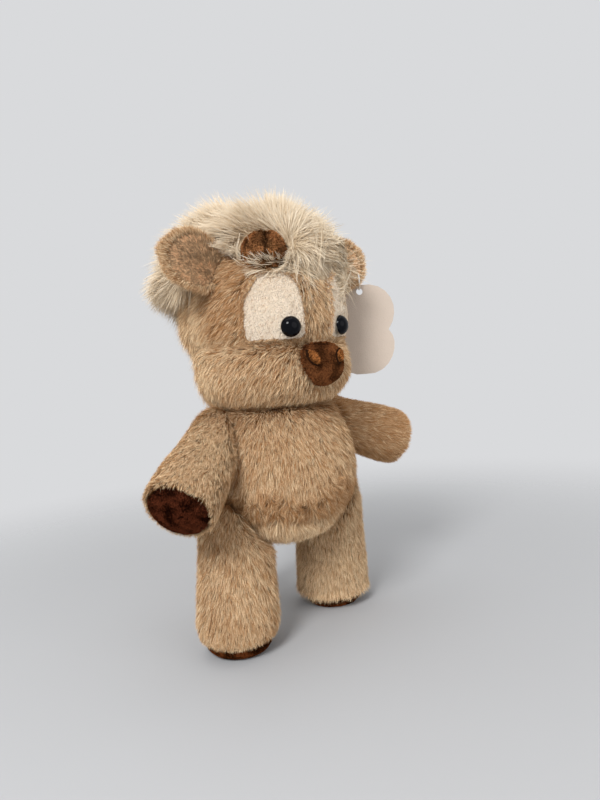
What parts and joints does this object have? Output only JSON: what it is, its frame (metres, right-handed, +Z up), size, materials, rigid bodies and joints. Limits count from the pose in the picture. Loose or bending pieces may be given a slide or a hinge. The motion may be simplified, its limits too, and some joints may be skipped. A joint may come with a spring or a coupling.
{
  "type": "plush cow",
  "caption": "Stuffed plush cow standing on domed soles, with furry skins, long hair mop, horns, cupped ears, padded paws, tail and a plain lobed hang tag.",
  "frame": {"origin": "on the floor under the middle of the toy's bounding box", "axes": "+Z up, the face looks along -Y, the toy's right side is at -X"},
  "size_m": [0.2424, 0.1448, 0.311],
  "materials": {
    "tan_fur": "matte",
    "cream_hair": "matte",
    "pale_short_pile": "matte",
    "nose_pile": "matte",
    "nostril_thread": "satin",
    "horn_pile": "matte",
    "paw_pile": "matte",
    "sole_pile": "matte",
    "ear_lining_pile": "matte",
    "eye_gloss": "gloss",
    "washer_plastic": "matte",
    "loop_plastic": "satin",
    "tag_card": "matte",
    "stuffing": "matte"
  },
  "bodies": {
    "body": {"body_front_right": "tan_fur", "body_back_right": "tan_fur", "body_front_left": "tan_fur", "body_back_left": "tan_fur", "body_stuffing": "stuffing"},
    "head": {"head_skin": "tan_fur", "muzzle_skin": "tan_fur", "head_stuffing": "stuffing", "hair_mop": "cream_hair", "nose_pad": "nose_pile", "eye_patch_right": "pale_short_pile", "eye_right": "eye_gloss", "eye_washer_right": "washer_plastic", "nostril_right": "nostril_thread", "horn_right": "horn_pile", "eye_patch_left": "pale_short_pile", "eye_left": "eye_gloss", "eye_washer_left": "washer_plastic", "nostril_left": "nostril_thread", "horn_left": "horn_pile", "horn_right_stuffing": "stuffing", "horn_left_stuffing": "stuffing"},
    "ear_right": {"ear_right_back": "tan_fur", "ear_right_lining": "ear_lining_pile"},
    "ear_left": {"ear_left_back": "tan_fur", "ear_left_lining": "ear_lining_pile", "tag_loop": "loop_plastic"},
    "hang_tag": {"tag_card": "tag_card"},
    "arm_right": {"arm_right_skin": "tan_fur", "arm_right_stuffing": "stuffing", "arm_right_pad": "paw_pile"},
    "arm_left": {"arm_left_skin": "tan_fur", "arm_left_stuffing": "stuffing", "arm_left_pad": "paw_pile"},
    "leg_right": {"leg_right_skin": "tan_fur", "leg_right_stuffing": "stuffing", "leg_right_sole": "sole_pile"},
    "leg_left": {"leg_left_skin": "tan_fur", "leg_left_stuffing": "stuffing", "leg_left_sole": "sole_pile"},
    "tail": {"tail_cord": "tan_fur", "tail_tuft": "cream_hair"}
  },
  "joints": [
    {"name": "neck_turn", "type": "hinge", "parent": "body", "child": "head", "pos_m": [-0.00438, -0.01163, 0.164], "axis": [0, 0, 1], "range_deg": [-20, 20], "stiffness_Nm_per_rad": 0.6},
    {"name": "shoulder_right", "type": "hinge", "parent": "body", "child": "arm_right", "pos_m": [-0.05203, -0.00663, 0.149], "axis": [-1, 0, 0], "range_deg": [-40, 75], "stiffness_Nm_per_rad": 0.15},
    {"name": "shoulder_left", "type": "hinge", "parent": "body", "child": "arm_left", "pos_m": [0.04328, -0.00663, 0.149], "axis": [-1, 0, 0], "range_deg": [-40, 75], "stiffness_Nm_per_rad": 0.15},
    {"name": "hip_right", "type": "hinge", "parent": "body", "child": "leg_right", "pos_m": [-0.04738, -0.01763, 0.087], "axis": [-1, 0, 0], "range_deg": [-15, 60], "stiffness_Nm_per_rad": 3},
    {"name": "hip_left", "type": "hinge", "parent": "body", "child": "leg_left", "pos_m": [0.03862, -0.01763, 0.087], "axis": [-1, 0, 0], "range_deg": [-15, 60], "stiffness_Nm_per_rad": 3},
    {"name": "ear_flap_right", "type": "hinge", "parent": "head", "child": "ear_right", "pos_m": [-0.0528, -0.01663, 0.257], "axis": [0, 0, 1], "range_deg": [-12, 12], "stiffness_Nm_per_rad": 0.02},
    {"name": "ear_flap_left", "type": "hinge", "parent": "head", "child": "ear_left", "pos_m": [0.04404, -0.01663, 0.257], "axis": [0, 0, 1], "range_deg": [-12, 12], "stiffness_Nm_per_rad": 0.02},
    {"name": "tag_swing", "type": "hinge", "parent": "ear_left", "child": "hang_tag", "pos_m": [0.07114, -0.03039, 0.24481], "axis": [-0.6428, -0.766, 0], "range_deg": [-2, 45]},
    {"name": "tail_wag", "type": "hinge", "parent": "body", "child": "tail", "pos_m": [-0.00438, 0.03552, 0.103], "axis": [0, 1, 0], "range_deg": [-35, 35], "stiffness_Nm_per_rad": 0.01}
  ]
}
